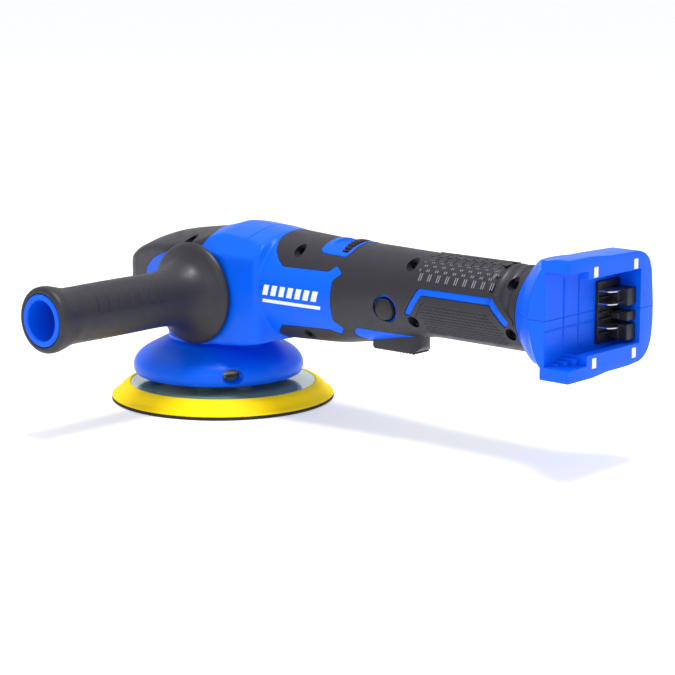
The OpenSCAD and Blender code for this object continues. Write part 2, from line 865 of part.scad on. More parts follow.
module handle_stud() {
    color("silver") on_handle() {
        translate([0, 0, handle_y + head_w - 11.5]) cylinder(h = 44, r = stud_r);
        translate([0, 0, 30]) cylinder(h = 5.5, r = 7.4, $fn = 6);
    }
}

housing_left();
housing_right();
overmould_left();
overmould_right();
palm_grip();
gear_case();
shroud();
shroud_screws();
spindle_top_bearing();
spindle_lower_bearing();
pinion_bearing();
motor_rear_bearing();
motor_end_plate();
stator_core();
stator_windings();
controller_board();
trigger_switch();
trigger_pin();
dial_bezel();
dial_potentiometer();
receptacle_upper();
receptacle_lower();
terminal_block();
contact_blades();
felt_pads();
battery_leads();
motor_leads();
housing_screws();
handle_guard();
handle_grip();
handle_sleeve();
handle_stud();
spindle();
bevel_gear();
eccentric_hub();
counterweight();
counterweight_screws();
pad_bearings();
pad_arbor();
backing_disc();
foam_ring();
hook_face();
pad_bolt();
rotor_shaft();
bevel_pinion();
rotor_core();
cooling_fan();
trigger();
trigger_spring();
lock_button();
lock_spring();
speed_dial();
dial_shaft();
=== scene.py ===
"""Looks of the dual action polisher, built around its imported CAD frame.

Shapes are drawn in millimetres in the CAD frame: +X runs to the battery end, -Y is the side
with the side handle, +Z is up. solid() stores them in metres.
"""
import math

import bpy
import numpy as np
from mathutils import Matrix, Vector


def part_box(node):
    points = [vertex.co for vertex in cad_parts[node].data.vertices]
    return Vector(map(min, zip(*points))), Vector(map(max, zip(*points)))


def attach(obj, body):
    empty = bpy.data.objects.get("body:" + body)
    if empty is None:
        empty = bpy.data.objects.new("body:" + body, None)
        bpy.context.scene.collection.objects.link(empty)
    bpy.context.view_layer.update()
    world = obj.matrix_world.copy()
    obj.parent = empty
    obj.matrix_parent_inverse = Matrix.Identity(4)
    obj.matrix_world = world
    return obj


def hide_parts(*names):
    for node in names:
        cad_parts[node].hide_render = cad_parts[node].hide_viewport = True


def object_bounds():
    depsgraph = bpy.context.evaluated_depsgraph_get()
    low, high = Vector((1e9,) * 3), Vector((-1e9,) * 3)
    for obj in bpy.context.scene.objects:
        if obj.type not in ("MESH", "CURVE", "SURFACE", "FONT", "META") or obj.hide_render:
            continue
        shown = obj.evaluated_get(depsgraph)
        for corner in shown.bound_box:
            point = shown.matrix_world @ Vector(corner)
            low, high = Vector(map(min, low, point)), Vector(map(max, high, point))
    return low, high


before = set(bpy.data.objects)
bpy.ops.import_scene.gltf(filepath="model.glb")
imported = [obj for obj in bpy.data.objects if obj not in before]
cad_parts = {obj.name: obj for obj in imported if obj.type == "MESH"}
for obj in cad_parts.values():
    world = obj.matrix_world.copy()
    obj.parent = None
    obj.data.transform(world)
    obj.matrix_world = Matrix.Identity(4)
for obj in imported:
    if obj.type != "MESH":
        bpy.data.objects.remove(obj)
cad_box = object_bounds()

MM = 0.001


def span(node):
    """Lowest and highest corner of a CAD node, in millimetres."""
    low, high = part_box(node)
    return np.array(low) / MM, np.array(high) / MM


def middle(node):
    low, high = span(node)
    return (low + high) / 2


# ---------- sizes, from the frame where it holds them ----------

MOTOR_Z = middle("rotor_core")[2]
GRIP_END = span("overmould_left")[1][0]
GRIP_R = 25.8
GRIP_RISE = 6.3
COVER_START = span("overmould_left")[0][0]
COVER_T = 2.0
WALL_T = 5.0
GROOVE = 0.22
SEAM = 0.08
NECK_R = 33.6
NECK_Z = 44.2
PAD = middle("foam_ring")
PAD_R = (span("foam_ring")[1] - span("foam_ring")[0])[0] / 2
HANDLE = middle("handle_stud")
HANDLE_TOP = span("handle_guard")[1][1]
HANDLE_LEN = HANDLE_TOP - span("handle_sleeve")[0][1]
TRIGGER_LOW, TRIGGER_HIGH = span("trigger")
BUTTON_LOW = span("lock_button")[0]
BUTTON = middle("lock_button")
HOOK_T = span("hook_face")[1][2]
SCREW_RING = 29.6      # radius of the circle that the shroud screws stand on
SLOT_TOP = 73.4        # top of the trigger slot, clear of the squeezed trigger
TRIGGER_END_R = 11.0   # round rear end of the trigger, seen from above
REACH = 60             # half width of a cutter that goes right through the body
DIAL_LOW, DIAL_HIGH = span("speed_dial")
DIAL = middle("speed_dial")
DIAL_R = (DIAL_HIGH - DIAL_LOW)[1] / 2
REC_LOW = span("receptacle_lower")[0]
REC_HIGH = span("receptacle_upper")[1]
REC_SPLIT = span("receptacle_upper")[0][2]
TERMINAL_LOW, TERMINAL_HIGH = span("terminal_block")

# Screws that close the housing: [x, z, distance of the recess floor from the seam]
SCREWS = [(95, 111, 16), (101.7, 58, 14), (183, 111, 11), (189, 77.2, 16), (261.6, 108, 13),
          (263, 79, 16), (5, 109, 22), (-42, 72, 22)]
RECESS_R = 3.7
LINER_R = 4.4


# ---------- numbers and outlines ----------

def blurred(points, x, reach=6.0):
    """A line through [x, value] points, with each corner rounded over reach to both sides."""
    xs, ys = np.transpose(points)
    return np.mean([np.interp(x + shift, xs, ys) for shift in np.linspace(-reach, reach, 9)], axis=0)


def outline_distance(points, u, v):
    """Signed distance of (u, v) from a closed outline, negative inside it."""
    corners = np.array(points, float)
    nearest = np.full(np.shape(u), np.inf)
    inside = np.zeros(np.shape(u), bool)
    for (au, av), (bu, bv) in zip(corners, np.roll(corners, -1, axis=0)):
        eu, ev = bu - au, bv - av
        along = np.clip(((u - au) * eu + (v - av) * ev) / (eu * eu + ev * ev), 0, 1)
        nearest = np.minimum(nearest, (u - au - eu * along) ** 2 + (v - av - ev * along) ** 2)
        if ev:
            inside ^= ((av > v) != (bv > v)) & (u < au + eu * (v - av) / ev)
    return np.sqrt(nearest) * np.where(inside, -1, 1)


def smooth_max(a, b, soft):
    """The larger of two fields, rounded where they meet."""
    near = np.maximum(soft - np.abs(a - b), 0) / soft
    return np.maximum(a, b) + near * near * soft / 4


def smooth_min(a, b, soft):
    return -smooth_max(-a, -b, soft)


def smooth_step(low, high, value):
    t = np.clip((value - low) / (high - low), 0, 1)
    return t * t * (3 - 2 * t)


def anticlockwise(points):
    p = np.array(points, float)
    q = np.roll(p, -1, axis=0)
    return p if np.sum(p[:, 0] * q[:, 1] - q[:, 0] * p[:, 1]) > 0 else p[::-1]


def rounded(points, radius, steps=5):
    """A closed outline with a soft curve in place of each corner."""
    p = anticlockwise(points)
    made = []
    for before, corner, after in zip(np.roll(p, 1, axis=0), p, np.roll(p, -1, axis=0)):
        back, on = before - corner, after - corner
        back_len, on_len = np.linalg.norm(back), np.linalg.norm(on)
        reach = min(radius, 0.45 * back_len, 0.45 * on_len)
        start, end = corner + back / back_len * reach, corner + on / on_len * reach
        for t in np.linspace(0, 1, steps):
            made.append((1 - t) ** 2 * start + 2 * t * (1 - t) * corner + t * t * end)
    return np.array(made)


def grown(points, distance):
    """A closed outline moved outwards by distance, or inwards where it is negative."""
    p = anticlockwise(points)
    ahead = np.roll(p, -1, axis=0) - p
    ahead /= np.linalg.norm(ahead, axis=1)[:, None]
    behind = np.roll(ahead, 1, axis=0)
    normal = np.stack([ahead[:, 1] + behind[:, 1], -ahead[:, 0] - behind[:, 0]], axis=1)
    length = np.maximum(np.linalg.norm(normal, axis=1), 1e-6)
    normal /= length[:, None]
    lean = np.maximum(normal[:, 0] * ahead[:, 1] - normal[:, 1] * ahead[:, 0], 0.35)
    return p + normal * (distance / lean)[:, None]


def box_outline(low, high):
    return [(low[0], low[1]), (high[0], low[1]), (high[0], high[1]), (low[0], high[1])]


def circle(radius, centre=(0, 0), count=64):
    a = np.arange(count) * 2 * math.pi / count
    return np.stack([centre[0] + radius * np.cos(a), centre[1] + radius * np.sin(a)], axis=1)


def curve_through(points, steps=8):
    """An open smooth line (Catmull-Rom) through points."""
    p = np.array(points, float)
    p = np.vstack([2 * p[0] - p[1], p, 2 * p[-1] - p[-2]])
    made = []
    for a, b, c, d in zip(p, p[1:], p[2:], p[3:]):
        for t in np.arange(steps) / steps:
            made.append(0.5 * (2 * b + (c - a) * t + (2 * a - 5 * b + 4 * c - d) * t * t
                               + (3 * b - a - 3 * c + d) * t ** 3))
    return np.array(made + [p[-2]])


# ---------- meshes ----------

def solid(name, points, faces):
    """A closed mesh from points in millimetres, with its faces turned outwards."""
    points = np.asarray(points, float)
    volume = 0.0
    for face in faces:
        a = points[face[0]]
        for i, j in zip(face[1:], face[2:]):
            volume += float(a @ np.cross(points[i], points[j]))
    if volume < 0:
        faces = [face[::-1] for face in faces]
    mesh = bpy.data.meshes.new(name)
    mesh.from_pydata((points * MM).tolist(), [], [list(map(int, face)) for face in faces])
    made = bpy.data.objects.new(name, mesh)
    bpy.context.scene.collection.objects.link(made)
    return made


def skin(name, rows, ring=False):
    """A closed mesh over rows of points, whose columns go round. A row with one place becomes one point.
    The ends are closed, unless ring says that the last row joins the first."""
    rows = [np.asarray(row, float) for row in rows]
    points, places = [], []
    for row in rows:
        single = np.ptp(row, axis=0).max() < 1e-6
        start = len(points)
        points.extend(row[:1] if single else row)
        places.append([start] * len(row) if single else list(range(start, start + len(row))))
    columns = len(places[0])
    faces = []
    for near, far in zip(places, places[1:] + (places[:1] if ring else [])):
        for i in range(columns):
            j = (i + 1) % columns
            corners = [near[i], near[j], far[j], far[i]]
            face = [c for k, c in enumerate(corners) if c != corners[k - 1]]
            if len(face) > 2:
                faces.append(face)
    if not ring:
        for end, turn in ((places[0], -1), (places[-1], 1)):
            if end[0] != end[1]:
                faces.append(end[::turn])
    return solid(name, points, faces)


def placed(points, height, axis):
    """2D points put at a height along an axis: x takes (y, z), y takes (x, z), z takes (x, y)."""
    p = np.asarray(points, float)
    return np.insert(p, "xyz".index(axis), height, axis=1)


def prism(outline, low, high, axis, edge=0.0, name="tool"):
    """An outline extruded along an axis, with its edges rounded by edge."""
    if not edge:
        return skin(name, [placed(outline, low, axis), placed(outline, high, axis)])
    turns = np.radians([0, 30, 60, 90])
    insets = [(-edge * (1 - math.sin(a)), edge * (1 - math.cos(a))) for a in turns]
    rows = [placed(grown(outline, d), low + h, axis) for d, h in insets]
    rows += [placed(grown(outline, d), high - h, axis) for d, h in reversed(insets)]
    return skin(name, rows)


def block(low, high, edge=0.0, axis="x", name="tool"):
    """A box between two corners."""
    k = "xyz".index(axis)
    flat = [i for i in range(3) if i != k]
    outline = box_outline([low[i] for i in flat], [high[i] for i in flat])
    outline = rounded(outline, 1.8 * edge, 4) if edge else outline
    return prism(outline, low[k], high[k], axis, edge, name)


def turned(profile, place, ring=False, columns=120, name="tool"):
    """A profile of [radius, height] points turned round. place puts (across, up, height) in the frame."""
    a = np.arange(columns) * 2 * math.pi / columns
    rows = []
    for radius, height in profile:
        rows.append(place(radius * np.cos(a), radius * np.sin(a), np.full(columns, float(height))))
    return skin(name, rows, ring)


def upright(centre_x, centre_y=0.0):
    return lambda across, up, height: np.stack([centre_x + across, centre_y + up, height], axis=1)


def along_x(centre_y, centre_z):
    return lambda across, up, height: np.stack([height, centre_y + across, centre_z + up], axis=1)


def handle_place(across, up, height):
    """On the side handle's axis, with height measured away from the head."""
    return np.stack([HANDLE[0] + across, HANDLE_TOP - height, HANDLE[2] + up], axis=1)


def joined(name, parts):
    """One mesh of several separate solids."""
    points, faces = [], []
    for part in parts:
        start = len(points)
        points += [v.co / MM for v in part.data.vertices]
        faces += [[start + i for i in p.vertices] for p in part.data.polygons]
        bpy.data.objects.remove(part)
    return solid(name, points, faces)


def carved(base, *steps):
    """base after UNION, DIFFERENCE and INTERSECT steps, each with a solid that is used up."""
    tools = []
    for operation, other in steps:
        change = base.modifiers.new(operation, "BOOLEAN")
        change.operation, change.object, change.solver = operation, other, "MANIFOLD"
        tools.append(other)
    bpy.context.view_layer.update()
    seen = base.evaluated_get(bpy.context.evaluated_depsgraph_get())
    mesh = bpy.data.meshes.new_from_object(seen)
    base.modifiers.clear()
    base.data = mesh
    for other in set(tools):
        bpy.data.objects.remove(other)
    if not len(mesh.vertices):
        raise RuntimeError(f"{base.name} came out empty")
    return base


def copied(base, name="tool"):
    made = bpy.data.objects.new(name, base.data.copy())
    bpy.context.scene.collection.objects.link(made)
    return made


def finished(piece, name, body, slot, material, *nodes, angle=32):
    """A finished piece: named, shaded, riding on its body and standing for its CAD nodes."""
    piece.name = piece.data.name = name
    piece.data.materials.clear()
    piece.data.materials.append(material)
    piece.data.shade_smooth()
    piece.data.set_sharp_from_angle(angle=math.radians(angle))
    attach(piece, body)
    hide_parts(*nodes)
    return piece


# ---------- materials ----------

def linear(r, g, b):
    """A colour given as it looks on screen, from 0 to 255, as the shader wants it."""
    channels = [c / 255 for c in (r, g, b)]
    return tuple(((c + 0.055) / 1.055) ** 2.4 if c > 0.04 else c / 12.92 for c in channels) + (1,)


def surface(name, colour, roughness, metallic=0.0, mottle=0.06, grain=1500.0, depth=0.02, spread=0.08,
            coat=0.0, edge=0.0, streaks=None, pattern=None, sheen=0.0, shine=0.5):
    """A procedural finish: mottled colour, uneven roughness and a fine grain, in metres on the piece.

    streaks stretches the grain along an axis, as a tool leaves it. pattern is (kind, scale, depth)
    for a second, larger relief. edge rounds the sharp edges by that many metres as they are lit. shine is
    the strength of the mirror-like reflection."""
    made = bpy.data.materials.new(name)
    made.use_nodes = True
    tree = made.node_tree
    nodes, links = tree.nodes, tree.links
    shader = nodes["Principled BSDF"]
    shader.inputs["Metallic"].default_value = metallic
    shader.inputs["Specular IOR Level"].default_value = shine
    shader.inputs["Coat Weight"].default_value = coat
    shader.inputs["Coat Roughness"].default_value = 0.08
    shader.inputs["Sheen Weight"].default_value = sheen
    where = nodes.new("ShaderNodeTexCoord").outputs["Object"]
    stretched = nodes.new("ShaderNodeMapping")
    stretched.inputs["Scale"].default_value = streaks or (1, 1, 1)
    links.new(where, stretched.inputs["Vector"])

    def cloud(scale, detail, vector):
        noise = nodes.new("ShaderNodeTexNoise")
        noise.inputs["Scale"].default_value = scale
        noise.inputs["Detail"].default_value = detail
        links.new(vector, noise.inputs["Vector"])
        return noise.outputs["Fac"]

    def between(value, low, high):
        change = nodes.new("ShaderNodeMapRange")
        change.inputs["From Min"].default_value, change.inputs["From Max"].default_value = 0.3, 0.7
        change.inputs["To Min"].default_value, change.inputs["To Max"].default_value = low, high
        links.new(value, change.inputs["Value"])
        return change.outputs["Result"]

    tint = nodes.new("ShaderNodeMix")
    tint.data_type = "RGBA"
    tint.inputs["A"].default_value = tuple(c * (1 - mottle) for c in colour[:3]) + (1,)
    lighter = tuple(min(1, c * (1 + mottle) + mottle * 0.01) for c in colour[:3])
    tint.inputs["B"].default_value = lighter + (1,)
    links.new(cloud(70, 4, where), tint.inputs["Factor"])
    links.new(tint.outputs["Result"], shader.inputs["Base Color"])
    uneven = cloud(160, 5, stretched.outputs["Vector"])
    links.new(between(uneven, roughness - spread / 2, roughness + spread / 2),
              shader.inputs["Roughness"])
    normal = None
    if edge:
        soft = nodes.new("ShaderNodeBevel")
        soft.samples = 4
        soft.inputs["Radius"].default_value = edge
        normal = soft.outputs["Normal"]
    reliefs = [(cloud(grain, 3, stretched.outputs["Vector"]), depth, 0.00006)]
    if pattern:
        kind, scale, strength = pattern
        if kind == "cells":
            shape = nodes.new("ShaderNodeTexVoronoi")
            shape.inputs["Scale"].default_value = scale
            links.new(where, shape.inputs["Vector"])
            reliefs.append((shape.outputs["Distance"], strength, 0.0004))
        else:
            shape = nodes.new("ShaderNodeTexWave")
            shape.bands_direction = kind
            shape.inputs["Scale"].default_value = scale
            shape.inputs["Distortion"].default_value = 0.4
            links.new(where, shape.inputs["Vector"])
            reliefs.append((shape.outputs["Fac"], strength, 0.0003))
    for height, strength, distance in reliefs:
        bump = nodes.new("ShaderNodeBump")
        bump.inputs["Strength"].default_value = strength
        bump.inputs["Distance"].default_value = distance
        links.new(height, bump.inputs["Height"])
        if normal:
            links.new(normal, bump.inputs["Normal"])
        normal = bump.outputs["Normal"]
    links.new(normal, shader.inputs["Normal"])
    return made


EDGE = 0.0005
blue = surface("blue_shell", linear(0, 92, 232), 0.34, grain=1900, depth=0.12, edge=EDGE, shine=0.15)
black = surface("black_cover", linear(34, 32, 40), 0.46, mottle=0.1, grain=1400, depth=0.35, spread=0.14,
                edge=EDGE, shine=0.4)
# A lighter grey copy of the black rubber: a painted highlight for the tops of the grip's dashes and bars.
highlight_rubber = surface("painted_highlight_cover", linear(128, 126, 136), 0.3, mottle=0.1, grain=1400, depth=0.2,
                   spread=0.1)
dark = surface("black_plastic", linear(27, 26, 31), 0.38, grain=1700, depth=0.15, edge=EDGE / 2, shine=0.4)
white_print = surface("white_print", linear(225, 228, 238), 0.45, mottle=0.03, grain=2200, depth=0.1)
foam = surface("yellow_foam", linear(255, 216, 0), 0.6, mottle=0.04, grain=2600, depth=0.4, spread=0.1,
               shine=0.15)
resin = surface("disc_resin", linear(140, 180, 168), 0.12, mottle=0.14, grain=900, depth=0.1, coat=1.0,
                pattern=("cells", 900, 0.03), shine=0.9)
hooks = surface("hook_fabric", linear(30, 30, 33), 0.85, mottle=0.3, grain=2400, depth=0.9,
                pattern=("cells", 1400, 0.8))
felt = surface("felt", linear(226, 228, 236), 0.9, mottle=0.08, grain=2600, depth=0.9, sheen=0.2)
cast = surface("gear_case_alloy", linear(176, 178, 182), 0.46, 1.0, mottle=0.12, grain=900, depth=0.5,
               pattern=("cells", 500, 0.12), edge=EDGE)
steel = surface("steel", linear(196, 198, 202), 0.3, 1.0, grain=700, depth=0.25, streaks=(1, 1, 9),
                edge=EDGE / 3)
shaft_steel = surface("shaft_steel", linear(190, 192, 198), 0.24, 1.0, grain=700, depth=0.25,
                      streaks=(12, 1, 1), edge=EDGE / 3)
black_steel = surface("black_steel", linear(40, 40, 44), 0.4, 1.0, mottle=0.2, grain=900, depth=0.4,
                      edge=EDGE / 3)
gear_steel = surface("gear_steel", linear(132, 134, 140), 0.36, 1.0, mottle=0.2, grain=1100, depth=0.4,
                     edge=EDGE / 3)
bearing = surface("bearing_steel", linear(204, 206, 212), 0.2, 1.0, mottle=0.04, grain=500, depth=0.2,
                  streaks=(1, 1, 14), edge=EDGE / 3)
iron = surface("iron_weight", linear(96, 98, 104), 0.55, 1.0, mottle=0.25, grain=700, depth=0.8,
               pattern=("cells", 400, 0.25))
laminate = surface("laminations", linear(150, 152, 160), 0.4, 1.0, mottle=0.1, depth=0.3,
                   pattern=("X", 320, 0.9))
copper = surface("copper", linear(196, 112, 60), 0.3, 1.0, mottle=0.15, depth=0.2, pattern=("X", 260, 0.9))
board = surface("green_board", linear(38, 92, 62), 0.4, mottle=0.3, grain=600, depth=0.3,
                pattern=("cells", 260, 0.5))
red_lead = surface("lead_red", linear(170, 30, 30), 0.45, mottle=0.12, depth=0.3)
black_lead = surface("lead_black", linear(36, 36, 38), 0.45, mottle=0.12, depth=0.3)

KEPT = {
    "steel": (steel, ["shroud_screws", "trigger_pin", "trigger_spring", "lock_spring", "handle_stud",
                      "counterweight_screws", "pad_arbor", "pad_bolt", "spindle"]),
    "black screws": (black_steel, ["housing_screws"]),
    "shafts": (shaft_steel, ["rotor_shaft", "dial_shaft"]),
    "gears": (gear_steel, ["bevel_gear", "bevel_pinion", "eccentric_hub"]),
    "bearings": (bearing, ["spindle_top_bearing", "spindle_lower_bearing", "pinion_bearing",
                           "motor_rear_bearing", "pad_bearings"]),
    "castings": (cast, ["gear_case"]),
    "weight": (iron, ["counterweight"]),
    "stacks": (laminate, ["stator_core", "rotor_core"]),
    "windings": (copper, ["stator_windings"]),
    "boards": (board, ["controller_board", "dial_potentiometer"]),
    "plastics": (dark, ["motor_end_plate", "trigger_switch", "cooling_fan"]),
    "red leads": (red_lead, ["battery_leads"]),
    "black leads": (black_lead, ["motor_leads"]),
}


def dress_kept_nodes():
    """Gives each CAD node that is kept as it is its finish."""
    for material, names in KEPT.values():
        for name in names:
            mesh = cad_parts[name].data
            mesh.materials.clear()
            mesh.materials.append(material)


# ---------- form of the body ----------

BARREL = [(30, 36.6), (75, 35.2), (114, 33.2), (131, 31.9), (191, GRIP_R), (320, GRIP_R)]
RISE = [(-80, 0), (118, 0), (193, GRIP_RISE), (320, GRIP_RISE)]
SPINE = [(-48, -7.5), (0, -3), (40, 0), (118, 0), (193, GRIP_RISE), (320, GRIP_RISE)]
HEAD_SIDE = rounded([(-66, 87), (-61, 94.5), (-50.5, 102.4), (-40, 107), (-28.9, 110.6),
                     (-18, 112.8), (10, 117), (32, 122.2), (54, 121), (76, 118.3), (76, 50),
                     (58, 46.5), (36, 44.2), (-8, 44.2), (-24, 57), (-58, 61), (-66, 66)], 3)
HEAD_PLAN = rounded([(-66, -16), (-58, -24), (-12, -36.5), (71.5, -36.5), (71.5, 36.5), (-12, 36.5),
                     (-58, 24), (-66, 16)], 7, 7)
HEAD_END = rounded([(0, 122.6), (14, 121), (27, 117), (36.5, 104), (36.5, 40), (-36.5, 40),
                    (-36.5, 104), (-27, 117), (-14, 121)], 1.2)
BELLOWS = (247.5, 254.5, 261.5)


def barrel_axis(x):
    return MOTOR_Z + blurred(RISE, x, 8)


def barrel_radius(x):
    return blurred(BARREL, x, 8)


def head_field(x, y, z):
    """Below zero inside the gear head and its neck."""
    crowned_z = z + 0.007 * y * y * smooth_step(80, 100, z)
    head = smooth_max(outline_distance(HEAD_SIDE, x, crowned_z), outline_distance(HEAD_PLAN, x, y), 4)
    head = smooth_max(head, outline_distance(HEAD_END, y, z), 1)
    neck = np.maximum(np.maximum(np.hypot(x, y) - NECK_R, NECK_Z - z), z - 80)
    return smooth_min(head, neck, 2)


def body_field(x, y, z):
    """Below zero inside the gear head, the barrel and the grip."""
    head = np.full(np.shape(x), 100.0)
    near = x < 90
    head[near] = head_field(x[near], y[near], z[near])
    barrel = np.maximum(np.hypot(y, z - barrel_axis(x)) - barrel_radius(x), 30 - x)
    return smooth_min(head, barrel, 2.5)


def grooves(x, y, z):
    """Depth of the bellows grooves round the end of the grip, which fade out towards its underside."""
    around = smooth_step(-6, 12, z - barrel_axis(x))
    return sum(1.65 * np.exp(-((x - at) / 1.5) ** 2) for at in BELLOWS) * around


def body_surface(inset, step, columns, ribbed=False):
    """The body's surface, moved in by inset: rays from its spine, fanned out round the nose."""
    fan = np.linspace(math.pi / 2, 0, max(int(40 / step), 6), endpoint=False)
    xs = np.arange(-48, GRIP_END + 1e-6, step)
    xs = np.union1d(xs, np.linspace(62, 78, int(24 / step)))
    origin_x = np.concatenate([np.full(len(fan), -48.0), xs])
    lean = np.concatenate([fan, np.zeros(len(xs))])
    origin_z = MOTOR_Z + blurred(SPINE, origin_x, 8)
    around = np.arange(columns) * 2 * math.pi / columns
    out_x = -np.sin(lean)[:, None] * np.ones(columns)
    out_y = np.cos(lean)[:, None] * np.cos(around)
    out_z = np.cos(lean)[:, None] * np.sin(around)
    low, high = np.zeros(out_x.shape), np.full(out_x.shape, 70.0)
    for _ in range(22):
        mid = (low + high) / 2
        x, y, z = origin_x[:, None] + mid * out_x, mid * out_y, origin_z[:, None] + mid * out_z
        depth = inset + grooves(x, y, z) if ribbed else inset
        inside = body_field(x, y, z) + depth < 0
        low, high = np.where(inside, mid, low), np.where(inside, high, mid)
    rows = np.stack([origin_x[:, None] + low * out_x, low * out_y, origin_z[:, None] + low * out_z], axis=2)
    return skin("body_surface", rows)


def on_barrel(x, angle, lift):
    """A point on the barrel: angle is measured from its top towards -Y."""
    r = barrel_radius(x) + lift
    return np.stack([x, -r * np.sin(angle), barrel_axis(x) + r * np.cos(angle)], axis=-1)


# Outlines seen from the side, as (x, z)
PALM = [(12, 130), (15.5, 118.3), (22, 114.8), (19, 108.5), (-9, 102.5), (-28, 95.3), (-38, 87.5), (-38, 50),
        (-80, 50), (-80, 130)]
PANEL = [(-90, 30), (-90, 140), (73, 140), (73, 116), (77, 110), (83, 104.7), (88, 101.3), (125, 101.7),
         (129.6, 105.6), (135.2, 101.5), (129.7, 96.7), (129, 71.5), (134.5, 66.5), (130, 62), (123, 64.6),
         (84, 63), (76, 57), (71, 52), (71, 30)]
STRIPE = [(184.2, 82.2), (194.8, 99), (250.2, 99.3), (263.2, 86), (260, 83), (248.4, 95.1),
          (197.2, 94.9), (187.8, 81.2)]
ACCENT = [(140.6, 62.5), (141.4, 65.8), (145, 68.2), (165, 66.8), (181, 65.4), (183.5, 62), (183, 56),
          (147, 56), (145, 60), (142.4, 60.6)]
BORDER = [(180.5, 81), (193, 102), (252, 102.2), (266.5, 87.5), (266.5, 84.5), (258.5, 80.5), (246.5, 92),
          (199, 91.8), (190, 77.5)]


# ---------- housing and covers ----------

def side_tool(outline, soft=0.0, radius=1.2):
    """A cutter through the whole width of the body, from a side outline."""
    return prism(grown(rounded(outline, radius, 4), soft), -REACH, REACH, "y")


def half_tool(side):
    """Everything on one side of the seam: -1 is left, 1 is right."""
    low, high = (-90, -SEAM) if side < 0 else (SEAM, 90)
    return block((-120, low, -50), (400, high, 250))


def recess_tools(side, radius):
    """The screw recesses of one side, from their floors outwards."""
    rods = [prism(circle(radius, (x, z), 40), *sorted((side * floor, side * REACH)), "y")
            for x, z, floor in SCREWS]
    return joined("recesses", rods)


def trigger_slot():
    return block((TRIGGER_LOW[0] - 1.2, TRIGGER_LOW[1] - 0.5, 30),
                 (TRIGGER_HIGH[0] + 2, TRIGGER_HIGH[1] + 0.5, SLOT_TOP))


def dial_pocket():
    low, high = span("dial_bezel")
    return block((low[0] - 0.1, low[1] - 0.1, 100), (high[0] + 0.1, high[1] + 0.1, 140))


def dial_wheel_space(extra):
    return prism(circle(DIAL_R + extra, (DIAL[1], DIAL[2])), DIAL_LOW[0] - extra, DIAL_HIGH[0] + extra, "x")


def top_seam():
    """A thin slot across the top of the head, where the top plate ends."""
    return carved(block((54.6, -29, 100), (55.1, 29, 130)), ("DIFFERENCE", body_surface(0.45, 2, 120)))


def make_housing():
    """The two blue halves: lowered under the soft cover, at full height where they show."""
    bare = carved(copied(full_body), ("INTERSECT", side_tool(PANEL, 0)))
    for outline in (STRIPE, ACCENT):
        bare = carved(bare, ("UNION", carved(copied(full_body), ("INTERSECT", side_tool(outline)))))
    bare = carved(bare, ("DIFFERENCE", side_tool(PALM, GROOVE)))
    whole = carved(body_surface(COVER_T, 2, 160), ("UNION", bare),
                   ("DIFFERENCE", body_surface(WALL_T, 3, 120)),
                   ("DIFFERENCE", prism(circle(30.2), 30, 62, "z")),
                   ("DIFFERENCE", prism(circle(32.4), 30, 50.2, "z")))
    whole = carved(whole, ("DIFFERENCE", trigger_slot()), ("DIFFERENCE", dial_pocket()),
                   ("DIFFERENCE", dial_wheel_space(0.8)), ("DIFFERENCE", top_seam()),
                   ("DIFFERENCE", prism(circle(8.0, (HANDLE[0], HANDLE[2])), -REACH, REACH, "y")),
                   ("DIFFERENCE", prism(circle(7.4, (BUTTON[0], BUTTON[2])), -REACH, -10, "y")))
    for side, name in ((-1, "housing_left"), (1, "housing_right")):
        shell = carved(copied(whole), ("INTERSECT", half_tool(side)),
                       ("DIFFERENCE", recess_tools(side, LINER_R)))
        finished(shell, name, "tool", "blue_shell", blue, name)
    bpy.data.objects.remove(whole)


def clear_of_stripe(x, around):
    """Whether a place on the grip is outside the stripe and its border."""
    z = barrel_axis(x) + GRIP_R * math.cos(around / GRIP_R)
    return outline_distance(BORDER, np.array([x]), np.array([z]))[0] > 2.5


def relief(outline, x, around, side, lift):
    """A small raised form that follows the barrel. outline is (along, around), from its top."""
    rows = []
    for shrink, height in ((0, -0.7), (0, lift - 0.15), (-0.16, lift)):
        p = grown(outline, shrink)
        px = x + p[:, 0]
        rows.append(on_barrel(px, side * -1 * (around + p[:, 1]) / GRIP_R, height))
    return skin("relief", rows)


def grip_texture(side):
    """Hexagons over the top of the grip that turn into dashes and then into double bars down its side."""
    pitch, first, columns = 6.75, 193.8, 9
    hexagon = rounded(circle(3.2, count=6), 0.7, 3)
    made = []
    for around, shift in ((-1.0, 0.5), (4.8, 0.0), (10.0, 0.5)):
        for i in range(columns - (shift > 0)):
            made.append(relief(hexagon, first - 2 + pitch * (i + shift), around, side, 0.45))
    dashes = ((14.2, 0.0, 1.0), (17.4, 0.5, 1.5), (20.9, 0.0, 1.9), (25.6, 0.5, 5.0))
    for around, shift, length in dashes:
        for i in range(columns):
            for across in (-0.75, 0.75):
                bar = rounded(box_outline((across - 0.36, -length / 2), (across + 0.36, length / 2)), 0.3, 3)
                made.append(relief(bar, first - 3.4 + pitch * (i + shift), around, side, 0.4))
    return made


def ripple_field(side):
    """Fine staggered ripples on the panel under the stripe."""
    wave = rounded([(-1.9, -0.3), (0, -0.75), (1.9, -0.3), (1.9, 0.25), (0, -0.2), (-1.9, 0.25)], 0.3, 3)
    made = []
    for row in range(13):
        around = 39.5 + 2.05 * row
        for i in range(14):
            x = 197.5 + 4.3 * i + (row % 2) * 2.15
            if abs(x - 189) > 7 and abs(x - 263) > 7 and clear_of_stripe(x, around):
                made.append(relief(wave, x, around, side, 0.3))
    return made


def paint_dash_highlights(cover):
    """Paints the tops of the dashes and bars on the grip a lighter grey, as a painted highlight where their
    raised tops catch the light.
    """
    cover.data.materials.append(highlight_rubber)
    for face in cover.data.polygons:
        x, y, z = face.center / MM
        if 190 < x < 250:
            up = z - barrel_axis(x)
            arc = GRIP_R * math.atan2(abs(y), up)
            if 12 < arc < 29 and math.hypot(y, up) > barrel_radius(x) + 0.12:
                face.material_index = 1


